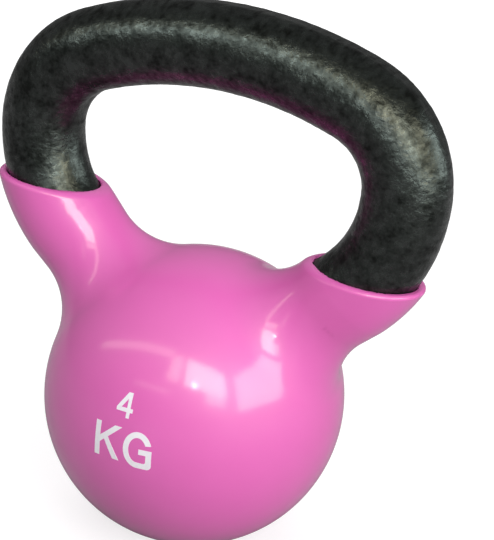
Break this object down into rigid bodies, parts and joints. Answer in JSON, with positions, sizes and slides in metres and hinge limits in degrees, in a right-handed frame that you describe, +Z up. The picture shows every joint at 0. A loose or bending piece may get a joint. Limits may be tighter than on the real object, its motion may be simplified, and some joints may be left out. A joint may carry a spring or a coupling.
{
  "type": "kettlebell",
  "caption": "Small vinyl-dipped cast-iron kettlebell with a closed round-bar handle, for one- and two-handed lifts and swings; stands on a flat foot.",
  "frame": {"origin": "middle of the flat foot, on the surface that the bell stands on", "axes": "+Z up; the handle lies in the XZ plane, with one horn towards +X and the other towards -X; the mass mark faces -Y"},
  "size_m": [0.1499, 0.096, 0.1694],
  "materials": {
    "grey_iron": "as cast, hidden under the enamel",
    "black_enamel": "satin-gloss hammered enamel over as-cast iron",
    "pink_vinyl": "smooth glossy dipped vinyl",
    "white_ink": "screen-printed ink"
  },
  "bodies": {
    "root": {"iron_casting": "grey_iron", "enamel_film": "black_enamel", "vinyl_coat": "pink_vinyl"}
  },
  "joints": []
}
